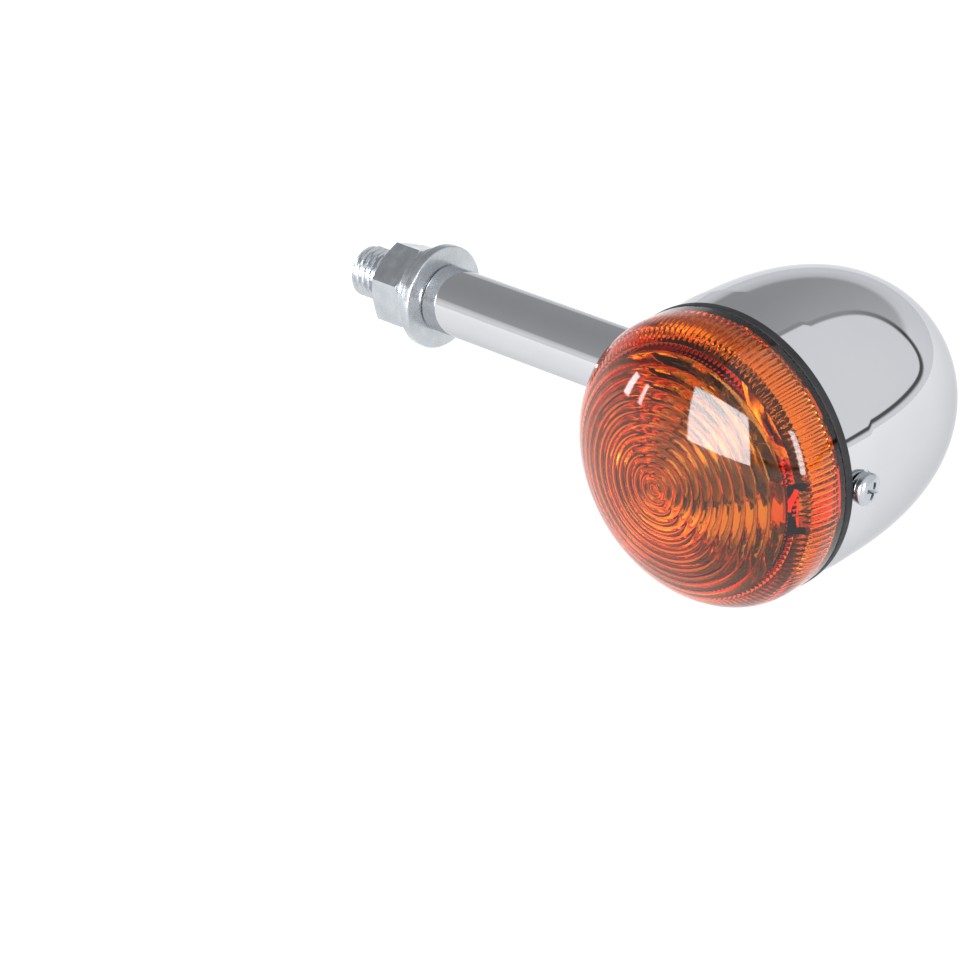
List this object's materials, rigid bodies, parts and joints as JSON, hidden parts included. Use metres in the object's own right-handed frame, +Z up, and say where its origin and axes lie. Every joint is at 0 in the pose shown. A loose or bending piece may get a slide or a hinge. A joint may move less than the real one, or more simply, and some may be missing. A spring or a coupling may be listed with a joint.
{
  "type": "motorcycle turn signal",
  "caption": "Chromed bullet turn signal with a ribbed amber lens, a bayonet bulb and a hollow threaded stem that bolts through a bracket.",
  "frame": {"origin": "centre of the stem's shoulder face, which bears on the bracket that holds the lamp", "axes": "+X from the shoulder along the stem to the lamp, -Y the way the lens faces, +Z up"},
  "size_m": [0.1568, 0.0851, 0.064],
  "materials": {
    "chrome": "mirror chrome plating",
    "zinc": "bright zinc plating, satin",
    "stamped_steel": "zinc-plated pressed steel",
    "rubber": "matt black moulded rubber",
    "amber_lens": "clear amber moulded polycarbonate",
    "brass": "turned and pressed brass",
    "fibre": "brown phenolic board",
    "black_glass": "black glass bead",
    "solder": "tin solder",
    "glass": "clear blown glass",
    "tungsten": "tungsten and nickel wire"
  },
  "bodies": {
    "lamp": {"housing": "chrome", "gasket": "rubber", "lens": "amber_lens", "lens_nut": "stamped_steel", "stem": "chrome", "mounting_stud": "zinc", "stem_star_washer": "stamped_steel", "stem_nut": "stamped_steel", "wire_grommet": "rubber", "bulb_bracket": "stamped_steel", "socket_shell": "stamped_steel", "socket_rivets": "stamped_steel", "contact_spring": "stamped_steel", "rear_insulator": "fibre", "terminal_tab": "brass"},
    "mount_washers": {"flat_washer": "zinc", "lock_washer": "zinc"},
    "mount_nut": {"hex_nut": "zinc"},
    "screw_washer": {"screw_lock_washer": "zinc"},
    "lens_fixing_screw": {"lens_screw": "zinc"},
    "bulb": {"bulb_cap": "brass", "bayonet_pins": "brass", "base_insulator": "black_glass", "base_contact": "solder", "bulb_glass": "glass", "glass_mount": "glass", "support_wires": "tungsten", "filament": "tungsten"},
    "contact": {"contact_plunger": "brass", "plunger_disc": "fibre"}
  },
  "joints": [
    {"name": "washer_slide", "type": "slide", "parent": "lamp", "child": "mount_washers", "axis": [-1, 0, 0], "range_m": [0, 0.0085]},
    {"name": "nut_spin", "type": "hinge", "parent": "mount_washers", "child": "mount_nut", "pos_m": [-0.0097, 0, 0], "axis": [-1, 0, 0], "range_deg": [0, 1750]},
    {"name": "screw_slide", "type": "slide", "parent": "lamp", "child": "screw_washer", "axis": [1, 0, 0], "range_m": [0, 0.008]},
    {"name": "screw_spin", "type": "hinge", "parent": "screw_washer", "child": "lens_fixing_screw", "pos_m": [0.1289, -0.013, 0], "axis": [1, 0, 0], "range_deg": [0, 4116]},
    {"name": "bulb_push", "type": "slide", "parent": "lamp", "child": "bulb", "axis": [0, 1, 0], "range_m": [0, 0.002], "stiffness_N_per_m": 1200, "springref_m": -0.003},
    {"name": "contact_push", "type": "slide", "parent": "lamp", "child": "contact", "axis": [0, 1, 0], "range_m": [0, 0.002], "deforming": ["contact_spring"]}
  ],
  "couplings": [
    {"joint": "nut_spin", "follows": "washer_slide", "rad_per_m": 3590.4},
    {"joint": "screw_spin", "follows": "screw_slide", "rad_per_m": 8976},
    {"joint": "contact_push", "follows": "bulb_push", "ratio": 1}
  ]
}
